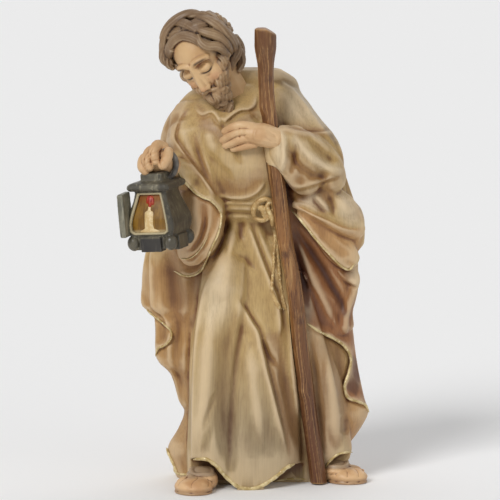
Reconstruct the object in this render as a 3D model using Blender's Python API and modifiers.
"""A carved and painted wooden figurine of Saint Joseph with a lantern and a staff.

The figure is laid out on a carver's squared drawing. The drawing shows the front, seen from a little above:
"across" runs to the right from the middle line, "up" runs up from the ground and "depth" runs away from the
carver, all in steps of the drawing. Rough forms are set out first and joined into one block, then the folds
are cut into the block from the drawing, and at the end the underside is sawn flat.
"""

import math

import bmesh
import bpy
import numpy as np
from mathutils import Matrix, Vector
from mathutils.bvhtree import BVHTree

# Driving sizes, in metres
FIGURE_HEIGHT = 0.200
HEAD_HEIGHT = 0.0335
STAFF_DIAMETER = 0.0070
STAFF_HEAD_DIAMETER = 0.0092
LANTERN_WIDTH = 0.0204
LANTERN_BODY_HEIGHT = 0.0185
LANTERN_ROOF_WIDTH = 0.0192
LANTERN_ROOF_HEIGHT = 0.0030
LANTERN_CAP_WIDTH = 0.0096
LANTERN_CAP_HEIGHT = 0.0038
LANTERN_FOOT_HEIGHT = 0.0062
LANTERN_RING_DIAMETER = 0.0127
LANTERN_RING_THICKNESS = 0.0026
SHUTTER_WIDTH = 0.0075
SHUTTER_THICKNESS = 0.0022
CLEARANCE = 0.0003

# The squared drawing
GRID_STEPS = 480
STEP = FIGURE_HEIGHT / GRID_STEPS
DRAWING_TILT = math.radians(8.0)

# How finely the block is worked
CARVING_VOXEL = 2.4 * STEP
FIGURE_TRIANGLES = 7250


def spot(across, up, depth):
    """A point of the front drawing, at a depth behind it, in metres."""
    height = (up - depth * math.sin(DRAWING_TILT)) / math.cos(DRAWING_TILT)
    return Vector((across, depth, height)) * STEP


def smooth_line(points, spans=4):
    """Catmull-Rom points through rows of numbers, as an array."""
    rows = np.array(points, float)
    if len(rows) < 3:
        share = np.linspace(0, 1, spans + 1)[:, None]
        return rows[0] + (rows[-1] - rows[0]) * share
    padded = np.vstack([2 * rows[0] - rows[1], rows, 2 * rows[-1] - rows[-2]])
    found = []
    for a, b, c, d in zip(padded, padded[1:], padded[2:], padded[3:]):
        for t in np.arange(spans) / spans:
            curve = (2 * a - 5 * b + 4 * c - d) * t**2 + (3 * b - a - 3 * c + d) * t**3
            found.append((2 * b + (c - a) * t + curve) / 2)
    found.append(rows[-1])
    return np.array(found)


# Rough forms: balls, limbs and lofts

class Block:
    """The rough forms of one carving, before they are joined."""

    def __init__(self):
        self.mesh = bmesh.new()
        self.limbs = []

    def ball(self, centre, radii, turn=None, within=None):
        """An ellipsoid with its radii in metres, turned about its centre."""
        place = Matrix.Translation(centre)
        if turn is not None:
            place = place @ turn.to_4x4()
        place = (within or Matrix.Identity(4)) @ place @ Matrix.Diagonal((*radii, 1))
        bmesh.ops.create_uvsphere(self.mesh, u_segments=24, v_segments=14, radius=1, matrix=place)

    def limb(self, points, spans=4, within=None):
        """A round limb through points, each a place and a radius in metres, with rounded ends."""
        rows = [(*p[:3], p[3]) for p in points]
        line = smooth_line(rows, spans)
        line[:, 3] = np.maximum(line[:, 3], 1e-5)
        first, last = line[0].copy(), line[-1].copy()
        ends = []
        for end, inner in ((first, line[1]), (last, line[-2])):
            out = end[:3] - inner[:3]
            out = out / max(np.linalg.norm(out), 1e-9)
            tip = np.append(end[:3] + out * end[3] * 0.8, end[3] * 0.25)
            shoulder = np.append(end[:3] + out * end[3] * 0.45, end[3] * 0.78)
            ends.append((tip, shoulder))
        rows = [ends[0][0], ends[0][1], *line, ends[1][1], ends[1][0]]
        if within is not None:
            scale = within.to_scale().x
            rows = [(*(within @ Vector(r[:3])), r[3] * scale) for r in rows]
        self.limbs.append(rows)

    def loft(self, rings):
        """A closed solid through rings of points, all with as many points, from the lowest up."""
        made = [[self.mesh.verts.new(p) for p in ring] for ring in rings]
        for low, high in zip(made, made[1:]):
            for i in range(len(low)):
                j = (i + 1) % len(low)
                self.mesh.faces.new((low[i], low[j], high[j], high[i]))
        self.mesh.faces.new(list(reversed(made[0])))
        self.mesh.faces.new(made[-1])

    def joined(self, name):
        """All forms as one object, not yet united."""
        curve = bpy.data.curves.new(name + "_limbs", "CURVE")
        curve.dimensions = "3D"
        curve.bevel_depth = 1.0
        curve.bevel_resolution = 3
        curve.use_fill_caps = True
        for rows in self.limbs:
            spline = curve.splines.new("POLY")
            spline.points.add(len(rows) - 1)
            for point, row in zip(spline.points, rows):
                point.co = (*row[:3], 1)
                point.radius = row[3]
        limbs = bpy.data.objects.new(name + "_limbs", curve)
        bpy.context.scene.collection.objects.link(limbs)
        bpy.context.view_layer.update()
        graph = bpy.context.evaluated_depsgraph_get()
        tubes = bpy.data.meshes.new_from_object(limbs.evaluated_get(graph))
        self.mesh.from_mesh(tubes)
        bmesh.ops.remove_doubles(self.mesh, verts=self.mesh.verts, dist=1e-7)
        bmesh.ops.recalc_face_normals(self.mesh, faces=self.mesh.faces)
        bpy.data.objects.remove(limbs)
        bpy.data.meshes.remove(tubes)
        mesh = bpy.data.meshes.new(name)
        self.mesh.to_mesh(mesh)
        self.mesh.free()
        return linked(bpy.data.objects.new(name, mesh))


def linked(obj):
    bpy.context.scene.collection.objects.link(obj)
    return obj


def settle(obj):
    """Applies an object's modifiers."""
    bpy.context.view_layer.update()
    graph = bpy.context.evaluated_depsgraph_get()
    worked = bpy.data.meshes.new_from_object(obj.evaluated_get(graph))
    obj.modifiers.clear()
    rough = obj.data
    obj.data = worked
    bpy.data.meshes.remove(rough)


def unite(obj, voxel, rounds):
    """Makes one skin of all the forms and evens it out."""
    remesh = obj.modifiers.new("unite", "REMESH")
    remesh.mode = "VOXEL"
    remesh.voxel_size = voxel
    if rounds:
        smooth = obj.modifiers.new("even", "SMOOTH")
        smooth.factor = 0.5
        smooth.iterations = rounds
    settle(obj)


def oval(across, up, depth, half_width, half_depth, fullness=2.2, wave=None, calm=None, count=64):
    """A level ring of the drawing's points: a rounded oval, folded by a wave."""
    ring = []
    centre = spot(across, up, depth)
    left, right = across - half_width, across + half_width
    for i in range(count):
        angle = math.tau * i / count
        c, s = math.cos(angle), math.sin(angle)
        reach = (abs(c) ** fullness + abs(s) ** fullness) ** (-1 / fullness)
        if wave:
            reach *= 1 + wave(angle)
        low, high = left, right
        if calm:
            back = min(1.0, max(0.0, (s + 0.05) / 0.5))
            low, high = left + (calm[0] - left) * back, right + (calm[1] - right) * back
        middle, half = (low + high) / 2 - across, (high - low) / 2
        ring.append(centre + Vector((middle + half * reach * c, half_depth * reach * s, 0)) * STEP)
    return ring


# The garments' rough forms: up, across, depth, half width, half depth

TUNIC = (
    (262, -6, 0, 36, 33),
    (272, -8, -3, 41, 38),
    (290, -8, -8, 47, 43),
    (320, -12, -12, 52, 45),
    (350, -16, -12, 55, 41),
    (372, -14, -8, 50, 34),
    (388, -8, -2, 36, 26),
    (398, -8, -1, 20, 18),
)
SKIRT = (
    (-10, -6, -14, 56, 44),
    (30, -6, -14, 57, 45),
    (80, -5, -13, 56, 44),
    (130, -4, -11, 54, 42),
    (180, -4, -7, 50, 40),
    (225, -4, -3, 44, 37),
    (258, -5, 0, 37, 33),
    (266, -5, -1, 36, 33),
)
CLOAK = (
    (2, 12, 18, 86, 36),
    (20, 9, 18, 89, 38),
    (34, 8, 18, 91, 39),
    (51, 19, 18, 92, 39),
    (69, 27, 18, 93, 39),
    (80, 22, 18, 94, 39),
    (107, 15, 17, 95, 39),
    (124, 6, 17, 101, 40),
    (163, 3, 16, 99, 40),
    (176, -2, 15, 107, 40),
    (195, 0, 14, 109, 40),
    (227, 1, 12, 107, 40),
    (266, 6, 10, 102, 39),
    (291, 6, 9, 95, 38),
    (321, 1, 7, 90, 36),
    (341, -2, 6, 88, 35),
    (361, -7, 6, 77, 33),
    (376, -6, 6, 67, 30),
    (389, -5, 7, 56, 26),
    (402, 4, 8, 42, 22),
    (412, 6, 9, 24, 16),
)


CALM_REACH = 34


def lay_loft(block, rows, fullness, wave=None, calm_reach=0):
    table = smooth_line(rows, 3)
    rings = []
    for up, across, depth, half_width, half_depth in table:
        fold = (lambda angle, up=up: wave(angle, up)) if wave else None
        calm = None
        if calm_reach:
            close = table[np.abs(table[:, 0] - up) <= calm_reach]
            calm = (close[:, 1] - close[:, 3]).max(), (close[:, 1] + close[:, 3]).min()
        rings.append(oval(across, up, depth, half_width, half_depth, fullness, fold, calm))
    block.loft(rings)


def cloak_wave(angle, up):
    """Long pleats that hang down the back, deeper towards the hem."""
    behind = max(0.0, math.sin(angle)) ** 0.7
    drop = min(1.0, max(0.0, (390 - up) / 390))
    pleats = math.sin(7 * angle + 0.9 + 0.5 * math.sin(up / 90))
    pleats += 0.45 * math.sin(13 * angle + 2.0 - up / 140)
    return behind * drop * 0.075 * pleats


def lay_body(block):
    lay_loft(block, TUNIC, 2.2)
    lay_loft(block, SKIRT, 2.1)
    lay_loft(block, CLOAK, 2.4, cloak_wave, CALM_REACH)


def steps(points):
    """Limb points given as across, up, depth and radius in steps, turned into metres."""
    return [(*spot(*p[:3]), p[3] * STEP) for p in points]


# Limbs under the cloth, each point as across, up, depth and radius

LIMBS = {
    "stepping_leg": (
        (-20, 240, -16, 24), (-25, 190, -34, 26), (-33, 130, -40, 25), (-37, 60, -42, 23),
        (-38, 12, -44, 22),
    ),
    "standing_leg": ((20, 240, -8, 26), (46, 150, -8, 28), (68, 90, -4, 27), (82, 28, -2, 22)),
    "lantern_upper_arm": ((-56, 362, -6, 25), (-58, 335, -18, 25), (-54, 308, -30, 24)),
    "lantern_forearm": ((-54, 306, -34, 22), (-66, 306, -52, 16), (-80, 314, -72, 11)),
    "lantern_sleeve": (
        (-60, 345, -22, 25), (-50, 310, -34, 24), (-48, 275, -38, 25), (-52, 245, -40, 24),
        (-58, 228, -38, 16),
    ),
    "staff_shoulder": ((28, 380, -4, 23), (42, 360, -8, 24), (60, 334, -14, 25)),
    "staff_upper_arm": ((48, 352, -10, 23), (68, 328, -18, 23), (72, 306, -26, 21)),
    "staff_forearm": ((72, 312, -28, 21), (56, 328, -42, 20), (36, 340, -52, 15), (26, 342, -56, 12)),
    "sleeve_front": ((28, 345, -54, 8), (32, 325, -52, 11), (40, 305, -46, 13), (46, 298, -42, 12)),
    "sleeve_middle": ((44, 345, -46, 12), (52, 320, -46, 18), (56, 300, -38, 18), (58, 294, -34, 12)),
    "sleeve_side": ((60, 336, -34, 14), (74, 316, -34, 18), (80, 300, -28, 17)),
    "cloak_arm_loop": ((68, 340, -12, 14), (79, 328, -20, 13), (81, 313, -24, 12), (72, 320, -34, 8)),
    "cloak_hip": ((48, 290, -26, 12), (70, 280, -24, 20), (92, 262, -10, 22), (100, 240, -2, 18)),
    "swag_edge": (
        (44, 276, -36, 4), (58, 273, -38, 6), (78, 262, -34, 9), (98, 254, -22, 12), (104, 250, -12, 10),
    ),
    "swag_fall": ((50, 268, -34, 5), (68, 250, -32, 9), (86, 232, -24, 13), (98, 222, -14, 12)),
    "swag_tip": (
        (98, 222, -10, 6), (104, 205, -8, 8), (106, 196, -6, 7), (98, 170, -4, 8), (96, 155, -2, 10),
    ),
}


def lay_limbs(block):
    for points in LIMBS.values():
        block.limb(steps(points))


# The feet, in soft shoes: where each ball of the foot sits on the ground, its radii and its turn

FEET = (
    {"place": (-56, -70), "radii": (19.5, 21.5, 10), "lift": 6.5, "turn": 14},
    {"place": (-48, -50), "radii": (16, 19, 14), "lift": 9.5, "turn": 14},
    {"place": (98, -15), "radii": (20.5, 16.5, 9.5), "lift": 6.5, "turn": -8},
    {"place": (87, -4), "radii": (16, 19, 14), "lift": 9, "turn": -8},
)


def lay_feet(block):
    for foot in FEET:
        centre = Vector((*foot["place"], foot["lift"])) * STEP
        radii = [r * STEP for r in foot["radii"]]
        block.ball(centre, radii, Matrix.Rotation(math.radians(foot["turn"]), 3, "Z"))


# The head, in shares of its own height: x to its left, y backwards, z up, from its middle

HEAD_PLACE = (-46, 424, -34)


def head_matrix():
    """Carries the head from its own shares into the figure."""
    bow = Matrix.Rotation(math.radians(24), 4, "X")
    lean = Matrix.Rotation(math.radians(-27), 4, "Y")
    turn = Matrix.Rotation(math.radians(-32), 4, "Z")
    return Matrix.Translation(spot(*HEAD_PLACE)) @ lean @ turn @ bow @ Matrix.Scale(HEAD_HEIGHT, 4)


def lay_face(block, place):
    def ball(x, y, z, rx, ry, rz):
        block.ball(Vector((x, y, z)), (rx, ry, rz), within=place)

    ball(0, 0.05, 0.09, 0.325, 0.385, 0.325)
    ball(0, -0.10, -0.12, 0.275, 0.28, 0.32)
    ball(0, -0.21, -0.33, 0.185, 0.17, 0.17)
    for side in (-1, 1):
        ball(side * 0.15, -0.235, -0.13, 0.115, 0.115, 0.13)
        ball(side * 0.135, -0.300, 0.005, 0.085, 0.070, 0.062)
        ball(side * 0.046, -0.405, -0.205, 0.036, 0.050, 0.034)
        brow = ((side * 0.04, -0.335, 0.12), (side * 0.13, -0.330, 0.14), (side * 0.23, -0.250, 0.10))
        block.limb([(*p, 0.042) for p in brow], within=place)
        flank = ((side * 0.022, -0.335, 0.05), (side * 0.034, -0.355, -0.06), (side * 0.040, -0.375, -0.16))
        block.limb([(*p, 0.045) for p in flank], within=place)
    nose = (
        (0, -0.350, 0.10, 0.036), (0, -0.385, -0.01, 0.036), (0, -0.430, -0.12, 0.040),
        (0, -0.452, -0.185, 0.046),
    )
    block.limb(nose, within=place)
    lips = ((-0.085, -0.330, -0.315), (0, -0.368, -0.30), (0.085, -0.330, -0.315))
    block.limb([(*p, 0.030) for p in lips], within=place)
    block.limb([(x * 0.85, y, z - 0.050, 0.032) for x, y, z in lips], within=place)


SKULL = (0, 0.085, 0.10)
SKULL_RADII = (0.395, 0.435, 0.325)

# Locks combed from the parting, on the drawing: across, up and radius

FRONT_LOCKS = (
    ((-50, 437, 3.2), (-56, 444, 5.0), (-67, 446, 5.6), (-76, 439, 5.4), (-80, 427, 4.2), (-78, 418, 2.4)),
    ((-54, 450, 3.4), (-66, 457, 6.0), (-80, 454, 6.2), (-89, 442, 5.6), (-90, 428, 4.6), (-85, 417, 2.6)),
    ((-46, 459, 4.0), (-58, 464, 6.0), (-72, 463, 6.4), (-84, 455, 5.6), (-90, 444, 4.0)),
    ((-86, 438, 4.2), (-91, 428, 5.0), (-90, 418, 4.2), (-84, 411, 2.4)),
    ((-79, 433, 3.0), (-81, 424, 4.2), (-83, 416, 3.6), (-79, 411, 2.0)),
    ((-52, 441, 3.0), (-45, 433, 4.6), (-36, 431, 5.0), (-28, 427, 4.6), (-21, 418, 2.8)),
    ((-51, 448, 3.4), (-40, 443, 5.6), (-30, 438, 5.8), (-21, 429, 5.2), (-17, 418, 3.4)),
    ((-49, 456, 3.6), (-37, 452, 6.0), (-26, 445, 6.2), (-16, 435, 5.6), (-11, 423, 4.0)),
    ((-50, 461, 4.0), (-40, 458, 6.0), (-32, 451, 6.2), (-24, 441, 5.8), (-12, 430, 4.4)),
    ((-60, 463, 4.4), (-48, 463, 6.0), (-38, 459, 6.2), (-29, 450, 5.8), (-18, 438, 4.2)),
    ((-15, 438, 3.4), (-8, 431, 5.2), (-7, 422, 5.4), (-10, 414, 4.2), (-15, 411, 2.4)),
    ((-22, 430, 3.2), (-16, 423, 4.8), (-14, 415, 5.0), (-16, 407, 3.8), (-20, 403, 2.2)),
    ((-25, 424, 2.6), (-22, 416, 4.0), (-21, 408, 3.6), (-24, 402, 2.0)),
)

# Curls at the nape: across, up, depth and radius

NAPE_LOCKS = (
    ((-16, 436, -26, 4), (-8, 428, -22, 5), (-6, 418, -22, 4.6), (-10, 409, -26, 3)),
    ((-14, 444, -14, 5), (-8, 434, -12, 5.4), (-7, 422, -12, 4.6), (-12, 411, -16, 3)),
    ((-20, 430, -6, 5), (-12, 420, -4, 5), (-13, 409, -8, 3.4)),
    ((-28, 428, 2, 5), (-22, 416, 4, 5), (-22, 404, 0, 3)),
    ((-40, 426, 6, 5), (-36, 414, 8, 5), (-34, 402, 4, 3)),
)


def lay_hair(block, place):
    """Thick wavy locks swept from a parting over the ears to the nape."""

    def over(angle, drop, lift=0.0):
        """A point over the skull: angle round from the face, drop from the crown."""
        r = 1 + lift
        return (
            0.375 * r * math.sin(drop) * math.sin(angle),
            0.06 - 0.43 * r * math.sin(drop) * math.cos(angle),
            0.10 + 0.330 * r * math.cos(drop),
        )

    block.ball(Vector((0, 0.12, 0.10)), (0.385, 0.405, 0.325), within=place)
    block.ball(spot(-22, 425, -14), (13 * STEP, 16 * STEP, 15 * STEP))
    for side in (-1, 1):
        for i in range(4, 10):
            share = i / 9
            start = 0.35 + 0.9 * share
            end = 1.25 + 1.85 * share
            points = []
            for j in range(6):
                t = j / 5
                angle = side * (start + (end - start) * t ** 0.8)
                fall = 0.12 + (0.98 + 0.40 * share) * t + 0.05 * math.sin(5 * t + 2 * i)
                swell = 0.03 * math.sin(math.pi * t) + 0.02 * math.sin(9 * t + i)
                size = 0.052 + 0.022 * math.sin(math.pi * min(1, t + 0.15))
                points.append((*over(angle, fall, swell), size))
            block.limb(points, within=place)
        for i in range(6):
            for row in (0, 1):
                angle = side * (1.30 + 0.36 * i + 0.18 * row)
                points = []
                for j in range(5):
                    t = j / 4
                    sway = side * 0.16 * math.sin(4.6 * t + i + 2 * row)
                    drop = 1.18 + 0.36 * row + 0.55 * t
                    lift = 0.05 + 0.04 * math.sin(4 * t + i)
                    points.append((*over(angle + sway, drop, lift), 0.066 - 0.024 * t))
                block.limb(points, within=place)
    lay_front_locks(block, place)
    for points in NAPE_LOCKS:
        block.limb(steps(points))


def lay_front_locks(block, place):
    """Lays the locks of the drawing on the skull."""
    skull = Block()
    skull.ball(Vector(SKULL), SKULL_RADII, within=place)
    form = skull.joined("skull")
    tree = BVHTree.FromObject(form, bpy.context.evaluated_depsgraph_get())
    bpy.data.objects.remove(form)
    look = Vector((0, math.cos(DRAWING_TILT), -math.sin(DRAWING_TILT)))
    heart = place @ Vector(SKULL)
    for i, lock in enumerate(FRONT_LOCKS):
        points = []
        for across, up, radius in lock:
            hit = tree.ray_cast(spot(across, up, 0) - look * FIGURE_HEIGHT * 0.6, look)[0]
            if hit is None:
                hit = tree.find_nearest(spot(across, up, HEAD_PLACE[2] + 4))[0]
            out = (hit - heart).normalized()
            points.append((*(hit + out * radius * (0.12 + 0.12 * (i % 3)) * STEP), radius * STEP))
        block.limb(points)


def lay_beard(block, place):
    """A short full beard of small curls along the jaw, and a moustache."""
    for side in (-1, 1):
        tash = (
            (0.012, -0.392, -0.262, 0.026),
            (0.07, -0.380, -0.280, 0.036),
            (0.13, -0.335, -0.330, 0.034),
            (0.175, -0.29, -0.40, 0.016),
        )
        block.limb([(side * x, y, z, r) for x, y, z, r in tash], within=place)
        for i in range(9):
            for row in (0, 1, 2, 3):
                share = min(1.0, i / 8 + 0.04 * row)
                x, y, z = side * (0.315 - 0.29 * share), -0.31 * share ** 0.7, -0.02 - 0.38 * share
                away = 0.035 + 0.018 * row
                x, y = x * (1 - 0.09 * row), y - 0.05 + 0.035 * row
                z += (0.055 - 0.075 * row) * (0.35 + 0.65 * share)
                hook = side * (0.038 + 0.012 * math.sin(2.3 * i + row)) * (-1 if (i + row) % 3 == 0 else 1)
                size = 0.042 + 0.007 * math.sin(1.7 * i + 2 * row)
                curl = (
                    (x, y, z + 0.03, size * 0.7),
                    (x + hook * 0.8, y - away, z - 0.02, size * 1.1),
                    (x + hook * 0.2, y - away * 1.3, z - 0.07, size * 1.15),
                    (x - hook * 0.9, y - away * 1.1, z - 0.095, size * 0.9),
                    (x - hook * 1.2, y - away * 0.6, z - 0.070, size * 0.55),
                )
                block.limb(curl, 2, within=place)


def lay_head(block):
    place = head_matrix()
    lay_face(block, place)
    lay_hair(block, place)
    lay_beard(block, place)
    block.limb(steps(((-12, 372, -4, 22), (-22, 392, -14, 19), (-34, 412, -24, 19))))


# The hands

CHEST_HAND = (
    ((26, 341, -59, 10.5), (12, 344.5, -63, 12), (0, 346, -64, 9.5)),
    ((4, 352, -64, 4.8), (-8, 353.5, -64.5, 4.7), (-17, 352, -62.5, 4.3), (-25.5, 347.5, -58, 3.5)),
    ((2, 347, -66, 4.8), (-10, 347, -66.5, 4.8), (-19, 343.5, -63.5, 4.3), (-27.5, 339, -58, 3.4)),
    ((2, 341, -65.5, 4.6), (-8, 340, -65.5, 4.5), (-16, 337, -63, 4.0), (-25, 333.5, -58, 3.3)),
    ((5, 335.5, -63.5, 4.2), (-3, 334, -63, 4.1), (-10, 332, -61.5, 3.6), (-17.5, 330.5, -58, 3.0)),
)
LANTERN_HAND = (
    ((-78, 312, -70, 12), (-88, 321, -79, 13), (-95, 317, -83, 11.5)),
    ((-84, 332, -80, 5.2), (-91, 334, -87, 5.2), (-94.5, 326, -95.5, 4.9), (-92, 317, -97, 4.2)),
    ((-90, 330, -78, 5.2), (-98, 328, -85.5, 5.2), (-101.5, 319.5, -94.5, 4.9), (-98, 311, -96, 4.2)),
    ((-95, 324, -76, 5.0), (-104, 321, -83, 5.0), (-106, 312.5, -91, 4.6), (-102, 307, -92, 4.0)),
    ((-80, 328, -84, 5.0), (-81, 322, -94, 5.2), (-86, 313, -98.5, 4.6)),
)


ROPE_LOOP = (
    (5, 262, -41, 2.0), (3.4, 268, -44, 2.5), (5, 275, -46, 2.7), (10, 280, -47, 2.7), (17, 281.4, -47, 2.6),
    (22.5, 277, -46, 2.6), (23, 270, -45, 2.6), (19, 264, -45, 2.6), (13, 260.5, -44, 2.4),
    (7, 261.5, -42, 2.2),
)
ROPE_TUCKS = (
    (
        (21, 280, -46, 2.2), (17, 274, -48, 2.6), (19.5, 268, -48.5, 2.8), (22, 262, -47, 2.8),
        (22.5, 256, -44, 2.2),
    ),
    ((8, 274, -43, 3.0), (13, 272, -43, 4.0), (15, 266, -43, 3.6)),
)
ROPE_CORDS = (
    (
        (21.5, 258, -42, 2.4), (25, 240, -40, 2.2), (24, 227, -40, 2.2), (22, 200, -40, 2.0),
        (27, 178, -40, 2.2),
    ),
    ((24, 256, -40, 2.4), (27.5, 229, -38, 2.2), (30, 200, -37, 2.0), (34, 174, -38, 2.2)),
)


def lay_rope(block):
    """The loop of the rope belt, its tucks and its two cords."""
    for cord in (ROPE_LOOP, *ROPE_TUCKS, *ROPE_CORDS):
        block.limb(steps(cord))


def lay_hands(block):
    for hand in (CHEST_HAND, LANTERN_HAND):
        for limb in hand:
            block.limb(steps(limb))


# Hollows cut into the cloth before the hands and feet are set in

FOOT_ARCHES = (
    (-130, -28, (
        (-92, -40), (-92, 12), (-74, 16), (-55, 24), (-43.6, 23), (-33.8, 16.5), (-24, 5.2), (-13, -4),
        (-12, -40),
    )),
    (-130, -14, ((14, -40), (14, -4), (27, 6), (36, 13), (45, 17), (54, 18), (56, -40))),
    (-130, -8, (
        (74, -40), (74, 8), (81.7, 21), (90, 27), (103, 28), (112, 27), (130, 20), (130, -40),
    )),
)


def prism(block, edge, near, far):
    """A straight cut through the drawing, between two depths."""
    block.loft([[spot(*p, near) for p in edge], [spot(*p, far) for p in edge]])


def lay_hollows(block):
    for near, far, edge in FOOT_ARCHES:
        prism(block, edge, near, far)


# The strokes of the gouge: kind, depth and width in steps, and the line on the drawing

FRONT_STROKES = (
    ("lap", 4, 9, ((-57, 372), (-48, 364), (-38, 366.5), (-32, 359), (-28, 353))),
    ("lap", 4.5, 10, ((-28, 353), (-20, 361), (-10, 368), (0, 369.5), (6, 375), (6.5, 387))),
    ("crease", 3, 6, ((-1, 368), (6, 361), (13, 356))),
    ("groove", 4, 6, (
        (-63, 370), (-72, 355), (-74.5, 342),
        (-68, 332), (-59, 319), (-46, 303.5), (-33, 288))),
    ("groove", 3.5, 6, ((-57, 346), (-53, 332), (-48.5, 319), (-42, 304), (-33, 291))),
    ("crease", 2.5, 6, ((-44, 328), (-36, 320), (-25, 309), (-13, 298))),
    ("crease", 2.5, 6, ((-20, 340), (-14, 328), (-8, 314))),
    ("ridge", 2.5, 10, ((-42, 352), (-40, 338), (-32, 324))),
    ("lap", 5, 9, ((-33, 287), (-24, 282), (-11, 280.5), (0, 282.5), (10, 289), (17, 300.5))),
    ("lap", 4.5, 7, ((86, 352), (77, 349), (57, 348), (40, 351), (25, 358))),
    ("ridge", 3.5, 6, ((27, 355), (33, 340), (33.5, 322), (29, 308), (24, 299))),
    ("ridge", 4, 6, ((44, 343), (57, 326), (72, 314.5), (86, 308.5), (95, 312))),
    ("groove", 4.5, 7, ((54, 346), (66, 332), (79, 321.5), (91, 319))),
    ("groove", 4, 7, ((38, 334), (46, 318), (58, 307), (72, 302), (85, 300))),
    ("groove", 3, 6, ((42, 346), (45, 330), (42, 312), (39, 303))),
    ("ridge", 3, 6, ((78.7, 349.4), (86.7, 340.7), (90.7, 331.4), (94, 320.6))),
    ("lap", 5, 8, ((25, 297.5), (33, 299), (43, 292), (55, 293), (66, 296.5), (78, 300.5), (92, 306))),
    ("crease", 4.5, 6, ((59, 286), (68, 274.5), (77, 265))),
    ("ridge", 3, 6, ((63, 287), (71, 277), (79, 268))),
    ("groove", 4.5, 6, ((76, 288), (81, 277), (84, 262))),
    ("ridge", 3, 9, ((88, 288), (96, 274), (103, 260))),
    ("lap", 5, 9, ((65.3, 367.5), (58.6, 374.2), (50.5, 383.6), (41, 393), (29, 401))),
    ("lap", 5, 8, (
        (112, 251), (99, 251.5), (89, 254.6), (79, 259.6),
        (69, 264), (60, 268), (50, 273), (43, 275.5))),
    ("groove", 2.5, 9, ((58, 258), (74, 245), (90, 230), (101, 226))),
    ("lap", 6, 9, (
        (41.2, 269.7), (53.2, 257), (66.6, 240.3),
        (80, 225.5), (90.7, 214.8), (98.8, 211.5), (102.8, 216.2))),
    ("lap", 4.5, 8, ((84, 213), (91, 204.5), (98, 198.5), (112, 192))),
    ("groove", 7, 9, ((44, 262), (48, 248), (60, 229), (72, 211), (82, 194), (91.5, 178), (99, 160))),
    ("groove", 8, 10, ((40.5, 255), (44, 234), (49, 211), (54, 191), (58.5, 168))),
    ("ridge", 4, 7, ((52, 226), (61, 205), (72, 184), (83, 162), (91, 144))),
    ("lap", 7, 10, (
        (56.5, 157.2), (68.7, 150), (83.3, 142.6), (94.7, 134.5), (101.2, 122.3),
        (98.8, 107.6), (94.7, 94.6), (98, 83.2), (107.7, 79.2), (115.9, 75.1), (120.4, 67))),
    ("groove", 4, 6, ((104, 140), (107, 115), (110, 95))),
    ("groove", 4, 8, ((97, 70), (95, 55), (98, 44))),
    ("ridge", 2.5, 7, ((-15, 266), (-17, 245), (-22, 222))),
    ("crease", 2.5, 6, ((-6, 266), (-9, 250), (-10, 236))),
    ("lap", 5, 10, ((30, 140), (31.5, 158), (28.5, 181), (22, 198), (15, 216), (6, 240), (-4, 267))),
    ("ridge", 3, 6, ((5, 262), (14, 238), (23, 216), (31, 197))),
    ("crease", 3, 6, ((-17, 229), (-8, 224), (0, 218), (7, 208))),
    ("ridge", 5, 22, ((-21, 236), (-29, 207), (-36, 176))),
    ("lap", 7, 14, (
        (39, 20), (34, 47), (28, 71), (22, 95), (17.5, 112),
        (13.5, 131), (9, 149), (2, 161), (-5, 173), (-15, 187))),
    ("crease", 5, 6, ((9, 147), (18, 128), (30, 110))),
    ("ridge", 5, 6, ((33, 188), (39.5, 168), (41.5, 141), (43, 119), (48, 81), (53, 55), (58, 28))),
    ("groove", 5, 9, ((30, 145), (33, 110), (38, 80), (44, 50), (50, 24))),
    ("ridge", 5, 13, ((-3, 152), (3, 112), (8, 70), (12, 26))),
    ("groove", 8, 19, ((-13, 192), (-19, 160), (-23, 120), (-25, 80), (-23, 40), (-18, 6))),
    ("ridge", 6, 14, ((-34, 190), (-42, 140), (-46, 90), (-50, 50), (-54, 24))),
    ("crease", 3, 6, ((-31, 98), (-40, 72), (-48, 48))),
    ("lap", 7, 13, (
        (-37, 214), (-46.8, 192.2), (-53.3, 163), (-58.2, 135.3),
        (-60.5, 111), (-60, 78.3), (-60, 45.8), (-62, 20))),
    ("groove", 5, 8, ((60, 145), (64, 110), (69, 70), (75, 25))),
    ("ridge", 5, 12, ((80, 140), (83, 100), (86, 60), (87, 30))),
    ("ridge", 4, 8, ((-78, 356), (-80, 342), (-76, 330))),
    ("lap", 5, 9, ((-70, 308.6), (-62, 295.2), (-50, 284.5), (-38, 279.1), (-29.8, 269.7), (-28.5, 260.4))),
    ("lap", 6, 7, (
        (-76, 210), (-66, 206), (-57, 206), (-48.5, 211),
        (-43, 222), (-37.5, 235), (-31.5, 248), (-28, 261), (-30, 272))),
    ("groove", 4.5, 6, ((-46, 277), (-44.5, 260), (-48, 245), (-56, 233), (-66, 229))),
    ("groove", 5, 6, ((-24, 272), (-23, 258), (-27, 244), (-33, 228), (-40, 212), (-52, 201))),
    ("groove", 6, 16, ((-84, 238), (-80, 208), (-77, 180), (-76, 146))),
    ("ridge", 4, 9, ((-101, 228), (-102, 198), (-98, 170))),
    ("lap", 6, 9, ((-107, 176), (-99, 167), (-87.5, 158), (-79.3, 150))),
    ("lap", 6, 8, ((-94, 125.5), (-92.3, 132), (-85.8, 135.3), (-79.3, 141.8), (-79.3, 150))),
    ("groove", 5, 9, ((-71, 172), (-72, 150), (-74, 120), (-70, 90), (-67, 56))),
    ("ridge", 4, 8, ((-81, 122), (-76, 80), (-79, 40))),
)
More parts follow.
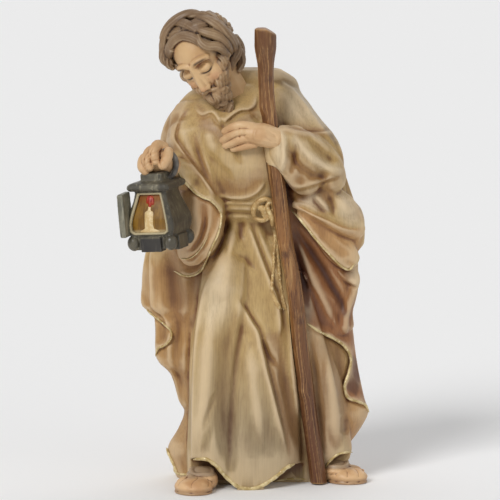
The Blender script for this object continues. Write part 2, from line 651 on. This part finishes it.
BACK_STROKES = (
    ("groove", 6, 12, ((-50, 330), (-56, 240), (-62, 140), (-60, 30))),
    ("ridge", 4, 12, ((-24, 350), (-30, 250), (-34, 150), (-36, 30))),
    ("groove", 7, 13, ((6, 330), (2, 230), (-6, 130), (-8, 20))),
    ("ridge", 4, 12, ((30, 340), (30, 240), (26, 140), (22, 30))),
    ("groove", 6, 12, ((54, 320), (58, 220), (52, 120), (50, 20))),
    ("groove", 5, 10, ((-70, 372), (-30, 350), (10, 346), (50, 356), (78, 372))),
    ("ridge", 3, 9, ((-60, 352), (-20, 332), (10, 328), (44, 336), (70, 352))),
)
LEFT_STROKES = (
    ("groove", 5, 9, ((-10, 300), (-4, 220), (0, 140), (4, 30))),
    ("ridge", 4, 9, ((14, 300), (20, 220), (22, 140), (24, 30))),
)
RIGHT_STROKES = (
    ("groove", 5, 9, ((4, 330), (-4, 240), (-6, 140), (-6, 30))),
    ("ridge", 4, 9, ((-20, 320), (-24, 230), (-26, 140), (-24, 40))),
)


class Board:
    """A drawing held against one side of the figure, which tells what the carver sees from there."""

    def __init__(self, turn):
        self.turn = Matrix.Rotation(math.radians(turn), 3, "Z")
        self.toward = self.turn @ Vector((0, -math.cos(DRAWING_TILT), math.sin(DRAWING_TILT)))

    def look(self, obj):
        mesh = obj.data
        places = np.empty(len(mesh.vertices) * 3)
        mesh.vertices.foreach_get("co", places)
        self.places = places.reshape(-1, 3)
        normals = np.empty(len(mesh.vertices) * 3)
        mesh.vertices.foreach_get("normal", normals)
        local = self.places @ np.array(self.turn)
        self.across = local[:, 0] / STEP
        self.up = (local[:, 2] * math.cos(DRAWING_TILT) + local[:, 1] * math.sin(DRAWING_TILT)) / STEP
        facing = normals.reshape(-1, 3) @ np.array(self.toward)
        self.seen = ease((facing - 0.08) / 0.35)
        tree = BVHTree.FromObject(obj, bpy.context.evaluated_depsgraph_get())
        start = self.places + normals.reshape(-1, 3) * 1.4 * STEP + np.array(self.toward) * STEP
        for i in np.nonzero(self.seen > 0)[0]:
            if tree.ray_cast(Vector(start[i]), self.toward)[0] is not None:
                self.seen[i] = 0

    def carve(self, obj, strokes):
        """Cuts or raises each stroke along the carver's line of sight."""
        self.look(obj)
        rise = np.zeros(len(self.places))
        for kind, depth, width, points in strokes:
            rise += stroke_rise(kind, depth, width, points, self.across, self.up)
        self.places += (rise * self.seen * STEP)[:, None] * np.array(self.toward)[None, :]
        obj.data.vertices.foreach_set("co", self.places.ravel())
        obj.data.update()


# How far each side of an overlap runs into the other, in steps
LAP_BLEND = 1.5


def ease(share):
    share = np.clip(share, 0, 1)
    return share * share * (3 - 2 * share)


def stroke_rise(kind, depth, width, points, across, up):
    """How far one stroke raises each point of the drawing, in steps."""
    line = smooth_line(points, 5)
    near = np.full(len(across), 1e9)
    side = np.zeros(len(across))
    along = np.zeros(len(across))
    close = (across > line[:, 0].min() - width) & (across < line[:, 0].max() + width)
    close &= (up > line[:, 1].min() - width) & (up < line[:, 1].max() + width)
    index = np.nonzero(close)[0]
    px, py = across[index], up[index]
    for i, ((ax, ay), (bx, by)) in enumerate(zip(line, line[1:])):
        dx, dy = bx - ax, by - ay
        t = np.clip(((px - ax) * dx + (py - ay) * dy) / (dx * dx + dy * dy + 1e-9), 0, 1)
        ox, oy = px - ax - t * dx, py - ay - t * dy
        distance = np.hypot(ox, oy)
        nearer = distance < near[index]
        chosen = index[nearer]
        near[chosen] = distance[nearer]
        side[chosen] = np.sign(dx * oy - dy * ox)[nearer]
        along[chosen] = (i + t[nearer]) / (len(line) - 1)
    ends = ease(np.minimum(along, 1 - along) / (0.2 if kind == "lap" else 0.36))
    share = np.clip(near / (width if kind == "lap" else width * (0.45 + 0.55 * ends)), 0, 1)
    if kind == "ridge":
        shape = np.cos(share * math.pi / 2) ** 2
    elif kind == "groove":
        shape = -np.cos(share * math.pi / 2) ** 2
    elif kind == "crease":
        shape = -((1 - share) ** 1.4)
    else:
        over = ease((side * near + LAP_BLEND) / (2 * LAP_BLEND))
        shape = over * (1 - share) ** 1.5 - (1 - over) * 0.6 * np.clip(1 - share / 0.45, 0, 1)
    return np.where(share < 1, depth * ends * shape, 0)


# The whole figure

def boolean_cut(obj, cutter):
    cut = obj.modifiers.new("cut", "BOOLEAN")
    cut.operation = "DIFFERENCE"
    cut.solver = "EXACT"
    cut.object = cutter
    settle(obj)


def add_forms(obj, other):
    """Joins another object's mesh into this one."""
    joined = bmesh.new()
    joined.from_mesh(obj.data)
    joined.from_mesh(other.data)
    joined.to_mesh(obj.data)
    joined.free()
    bpy.data.objects.remove(other)


def make_figure():
    cloth = Block()
    lay_body(cloth)
    lay_limbs(cloth)
    figure = cloth.joined("carved_figure")
    unite(figure, CARVING_VOXEL, 3)
    hollows = Block()
    lay_hollows(hollows)
    cutter = hollows.joined("hollows")
    boolean_cut(figure, cutter)
    bpy.data.objects.remove(cutter)
    flesh = Block()
    lay_head(flesh)
    lay_hands(flesh)
    lay_rope(flesh)
    lay_feet(flesh)
    add_forms(figure, flesh.joined("flesh"))
    unite(figure, CARVING_VOXEL, 1)
    for turn, strokes in ((0, FRONT_STROKES), (180, BACK_STROKES), (-90, LEFT_STROKES), (90, RIGHT_STROKES)):
        Board(turn).carve(figure, strokes)
    unite(figure, CARVING_VOXEL, 1)
    return figure


def lighten(obj, triangles):
    """Brings the skin down to a number of triangles, sparing the head and the hands."""
    group = obj.vertex_groups.new(name="plain")
    head = head_matrix().translation
    hands = (spot(-90, 322, -84), spot(-8, 344, -62))
    for vertex in obj.data.vertices:
        near_head = (vertex.co - head).length < HEAD_HEIGHT * 0.66
        near_hand = min((vertex.co - hand).length for hand in hands) < 22 * STEP
        group.add([vertex.index], 0.25 if near_head or near_hand else 1.0, "REPLACE")
    whole = sum(len(p.vertices) - 2 for p in obj.data.polygons)
    fewer = obj.modifiers.new("lighten", "DECIMATE")
    fewer.ratio = triangles / whole
    fewer.vertex_group = "plain"
    fewer.vertex_group_factor = 2e-6
    fewer.use_collapse_triangulate = True
    settle(obj)
    obj.vertex_groups.clear()


def saw_flat(obj):
    """Saws the underside level."""
    bpy.ops.mesh.primitive_cube_add(size=1, location=(0, 0, -FIGURE_HEIGHT / 4))
    saw = bpy.context.active_object
    saw.name = "saw"
    saw.scale = (FIGURE_HEIGHT * 2, FIGURE_HEIGHT * 2, FIGURE_HEIGHT / 2)
    bpy.context.view_layer.update()
    boolean_cut(obj, saw)
    bpy.data.objects.remove(saw)


# The staff, leaning out towards the top, with a slanting cut at its head

STAFF_LINE = (
    (15, 446), (15.2, 431), (15.8, 404), (17, 381), (19.6, 361), (22.5, 331), (28, 291), (34.5, 243),
    (41.5, 207), (46.5, 172), (50, 136), (55, 100), (59.3, 64.6), (64.6, 29), (68.5, -2),
)


def staff_depth(up):
    return -25 - 0.087 * up


def make_staff(name, grow):
    block = Block()
    line = smooth_line(STAFF_LINE, 1)
    rows = []
    for across, up in line:
        flare = ease((up - 408) / 26)
        body = STAFF_DIAMETER / 2 * (1.03 - 0.05 * min(1, max(0, up) / 200))
        radius = body + flare * (STAFF_HEAD_DIAMETER - STAFF_DIAMETER) / 2
        rows.append((*spot(across, up, staff_depth(up)), radius + grow))
    rows = rows[::-1]
    curve = bpy.data.curves.new(name + "_line", "CURVE")
    curve.dimensions = "3D"
    curve.bevel_depth = 1.0
    curve.bevel_resolution = 3
    curve.use_fill_caps = True
    spline = curve.splines.new("POLY")
    spline.points.add(len(rows) + 1)
    low, high = Vector(rows[0][:3]), Vector(rows[-1][:3])
    low_out = (low - Vector(rows[1][:3])).normalized()
    high_out = (high - Vector(rows[-2][:3])).normalized()
    ends = [(*(low + low_out * 10 * STEP), rows[0][3])], [(*(high + high_out * 12 * STEP), rows[-1][3])]
    for point, row in zip(spline.points, ends[0] + rows + ends[1]):
        point.co = (*row[:3], 1)
        point.radius = row[3]
    staff = linked(bpy.data.objects.new(name, curve))
    bpy.context.view_layer.update()
    graph = bpy.context.evaluated_depsgraph_get()
    mesh = bpy.data.meshes.new_from_object(staff.evaluated_get(graph))
    bpy.data.objects.remove(staff)
    block.mesh.from_mesh(mesh)
    staff = block.joined(name)
    if grow == 0:
        for part, turn, lift in (("foot", 0, -FIGURE_HEIGHT / 4), ("head", 30, FIGURE_HEIGHT / 4)):
            bpy.ops.mesh.primitive_cube_add(size=FIGURE_HEIGHT / 2, location=(0, 0, 0))
            saw = bpy.context.active_object
            saw.name = "staff_saw_" + part
            base = Matrix.Translation((0, 0, 0)) if part == "foot" else Matrix.Translation(high)
            slant = Matrix.Rotation(math.radians(turn), 4, "Y")
            saw.matrix_world = base @ slant @ Matrix.Translation((0, 0, lift))
            bpy.context.view_layer.update()
            boolean_cut(staff, saw)
            bpy.data.objects.remove(saw)
    return staff


# The lantern: a swelling square body under a flat roof, on short feet, hung by a ring

LANTERN_BASE = (-88, 248, -86)
LANTERN_LEAN = math.radians(-5)
LANTERN_YAW = math.radians(-24)
RING_PLACE = (-88, 315, -84)


def lantern_matrix():
    lean = Matrix.Rotation(LANTERN_LEAN, 4, "Y")
    return Matrix.Translation(spot(*LANTERN_BASE)) @ lean @ Matrix.Rotation(LANTERN_YAW, 4, "Z")


def square_ring(half, height, corner=0.12):
    """A square with cut corners at a height, counterclockwise from above."""
    c = half * (1 - corner)
    points = ((half, -c), (half, c), (c, half), (-c, half), (-half, c), (-half, -c), (-c, -half), (c, -half))
    return [Vector((x, y, height)) for x, y in points]


def lantern_profile():
    half, tall = LANTERN_WIDTH / 2, LANTERN_BODY_HEIGHT
    roof, cap = LANTERN_ROOF_WIDTH / 2, LANTERN_CAP_WIDTH / 2
    roof_top = tall + LANTERN_ROOF_HEIGHT
    return (
        (half * 0.84, -LANTERN_FOOT_HEIGHT * 0.86),
        (half * 0.86, -LANTERN_FOOT_HEIGHT * 0.12),
        (half * 0.92, 0.0),
        (half, tall * 0.12),
        (half * 1.03, tall * 0.25),
        (half, tall * 0.38),
        (half * 0.88, tall * 0.58),
        (half * 0.76, tall * 0.76),
        (half * 0.69, tall * 0.95),
        (roof * 0.93, tall),
        (roof, tall + LANTERN_ROOF_HEIGHT * 0.35),
        (roof * 0.97, roof_top - LANTERN_ROOF_HEIGHT * 0.25),
        (roof * 0.88, roof_top),
        (cap * 1.12, roof_top + LANTERN_CAP_HEIGHT * 0.12),
        (cap, roof_top + LANTERN_CAP_HEIGHT * 0.3),
        (cap, roof_top + LANTERN_CAP_HEIGHT * 0.85),
        (cap * 0.86, roof_top + LANTERN_CAP_HEIGHT),
    )


def piece_of(name, build, place):
    """One closed piece built in its own frame, then set in place."""
    made = bmesh.new()
    build(made)
    bmesh.ops.transform(made, matrix=place, verts=made.verts)
    bmesh.ops.recalc_face_normals(made, faces=made.faces)
    mesh = bpy.data.meshes.new(name)
    made.to_mesh(mesh)
    made.free()
    return linked(bpy.data.objects.new(name, mesh))


def loft_into(made, rings):
    rows = [[made.verts.new(p) for p in ring] for ring in rings]
    for low, high in zip(rows, rows[1:]):
        for i in range(len(low)):
            j = (i + 1) % len(low)
            made.faces.new((low[i], low[j], high[j], high[i]))
    made.faces.new(list(reversed(rows[0])))
    made.faces.new(rows[-1])


def torus_into(made, major, minor, around=28, across=8):
    rows = []
    for i in range(around):
        a = math.tau * i / around
        ring = []
        for j in range(across):
            b = math.tau * j / across
            reach = major + minor * math.cos(b)
            ring.append(made.verts.new((reach * math.cos(a), minor * math.sin(b), reach * math.sin(a))))
        rows.append(ring)
    for i in range(around):
        for j in range(across):
            k, m = (i + 1) % around, (j + 1) % across
            made.faces.new((rows[i][j], rows[k][j], rows[k][m], rows[i][m]))


def make_lantern(name, grow):
    """The lantern, or with grow, the room that it takes up."""
    place = lantern_matrix()
    rings = [square_ring(half + grow, z) for half, z in lantern_profile()]
    lantern = piece_of(name, lambda made: loft_into(made, rings), place)
    additions = []

    def ring_build(made):
        torus_into(made, LANTERN_RING_DIAMETER / 2, LANTERN_RING_THICKNESS / 2 + grow)

    additions.append(piece_of("ring", ring_build, Matrix.Translation(spot(*RING_PLACE))))
    if grow == 0:
        additions += lantern_trim(place)
        window = window_cutter(place)
        boolean_cut(lantern, window)
        bpy.data.objects.remove(window)
        additions.append(candle_piece(place))
    for extra in additions:
        union = lantern.modifiers.new("union", "BOOLEAN")
        union.operation = "UNION"
        union.solver = "EXACT"
        union.object = extra
        settle(lantern)
        bpy.data.objects.remove(extra)
    return lantern


def window_edge(inset):
    """The outline of the window on the front face, as x and z."""
    half, tall = LANTERN_WIDTH / 2, LANTERN_BODY_HEIGHT
    right = [
        (half * 0.62, tall * 0.07),
        (half * 0.78, tall * 0.13),
        (half * 0.79, tall * 0.28),
        (half * 0.72, tall * 0.46),
        (half * 0.60, tall * 0.68),
        (half * 0.50, tall * 0.86),
        (half * 0.47, tall * 0.93),
    ]
    right = [(x - inset, z) for x, z in right]
    return right + [(-x, z) for x, z in reversed(right)]


def window_cutter(place):
    half = LANTERN_WIDTH / 2
    edge = window_edge(0)

    def build(made):
        near = [Vector((x, -half * 1.4, z)) for x, z in edge]
        far = []
        for x, z in edge:
            deep = 0.80 - 0.28 * max(0, z / LANTERN_BODY_HEIGHT - 0.35)
            far.append(Vector((x * 0.97, -half * deep, z)))
        loft_into(made, [near, far])

    return piece_of("window", build, place)


def candle_piece(place):
    """A candle with its flame, in low relief on the back of the window."""
    half, tall = LANTERN_WIDTH / 2, LANTERN_BODY_HEIGHT

    def build(made):
        rows = (
            (0.2, 0.05), (0.2, 0.42), (0.17, 0.50), (0.07, 0.52), (0.06, 0.60), (0.12, 0.68), (0.10, 0.76),
            (0.03, 0.88),
        )
        rings = []
        for width, level in rows:
            ring = []
            for i in range(8):
                angle = math.tau * i / 8
                y = -half * (0.74 - 0.26 * max(0, level - 0.35)) + half * width * 0.8 * math.sin(angle)
                ring.append(Vector((half * width * math.cos(angle), y, tall * level)))
            rings.append(ring)
        loft_into(made, rings)

    return piece_of("candle", build, place)


def box_rings(x0, x1, y0, y1, z0, z1):
    corners = ((x0, y0), (x1, y0), (x1, y1), (x0, y1))
    return [[Vector((x, y, z)) for x, y in corners] for z in (z0, z1)]


def lantern_trim(place):
    """The knob feet at the corners, the aprons between them and the open shutter."""
    half, foot = LANTERN_WIDTH / 2, LANTERN_FOOT_HEIGHT
    found = []
    for x in (-1, 1):
        for y in (-1, 1):
            middle = Matrix.Translation((x * half * 0.80, y * half * 0.80, -foot * 0.46))
            shape = place @ middle @ Matrix.Diagonal((foot * 0.42, foot * 0.42, foot * 0.52, 1))

            def knob(made):
                bmesh.ops.create_uvsphere(made, u_segments=10, v_segments=7, radius=1)

            found.append(piece_of("knob", knob, shape))
    aprons = (
        (-half * 0.42, half * 0.42, -half * 0.98, -half * 0.5),
        (half * 0.5, half * 0.98, -half * 0.42, half * 0.42),
        (-half * 0.98, -half * 0.5, -half * 0.42, half * 0.42),
    )
    for x0, x1, y0, y1 in aprons:
        rings = box_rings(x0, x1, y0, y1, -foot * 1.04, -foot * 0.06)
        found.append(piece_of("apron", lambda made, rings=rings: loft_into(made, rings), place))
    hinge = Matrix.Translation((-half * 0.92, -half * 0.80, 0)) @ Matrix.Rotation(math.radians(6), 4, "Z")
    tall = LANTERN_BODY_HEIGHT
    rings = box_rings(-SHUTTER_THICKNESS, half * 0.04, -SHUTTER_WIDTH, half * 0.2, tall * 0.02, tall * 0.99)
    found.append(piece_of("shutter", lambda made: loft_into(made, rings), place @ hinge))
    return found


# Colours and the finished set

def make_material(name, colour, roughness):
    material = bpy.data.materials.new(name)
    material.use_nodes = True
    shader = material.node_tree.nodes["Principled BSDF"]
    shader.inputs["Base Color"].default_value = (*colour, 1)
    shader.inputs["Roughness"].default_value = roughness
    return material


def centre_on_origin(objects):
    """Moves the set so that its middle stands over the origin."""
    corners = np.array([v.co[:2] for obj in objects for v in obj.data.vertices])
    middle = (corners.min(axis=0) + corners.max(axis=0)) / 2
    for obj in objects:
        obj.data.transform(Matrix.Translation((-middle[0], -middle[1], 0)))
    return middle


def main():
    for obj in list(bpy.data.objects):
        bpy.data.objects.remove(obj)
    figure = make_figure()
    lighten(figure, FIGURE_TRIANGLES)
    saw_flat(figure)
    for cutter in (make_staff("staff_room", CLEARANCE), make_lantern("lantern_room", CLEARANCE)):
        boolean_cut(figure, cutter)
        bpy.data.objects.remove(cutter)
    staff = make_staff("staff", 0)
    lantern = make_lantern("lantern", 0)
    middle = centre_on_origin((figure, staff, lantern))
    print("middle of the set, in metres:", round(middle[0], 6), round(middle[1], 6))
    colours = (
        (figure, "limewood", (0.52, 0.37, 0.24), 0.55),
        (staff, "stained_wood", (0.20, 0.10, 0.05), 0.6),
        (lantern, "painted_wood", (0.10, 0.10, 0.09), 0.5),
    )
    shelf = bpy.data.collections.new("saint_joseph_figurine")
    bpy.context.scene.collection.children.link(shelf)
    for obj, name, colour, roughness in colours:
        obj.data.materials.clear()
        obj.data.materials.append(make_material(name, colour, roughness))
        bpy.context.scene.collection.objects.unlink(obj)
        shelf.objects.link(obj)


main()
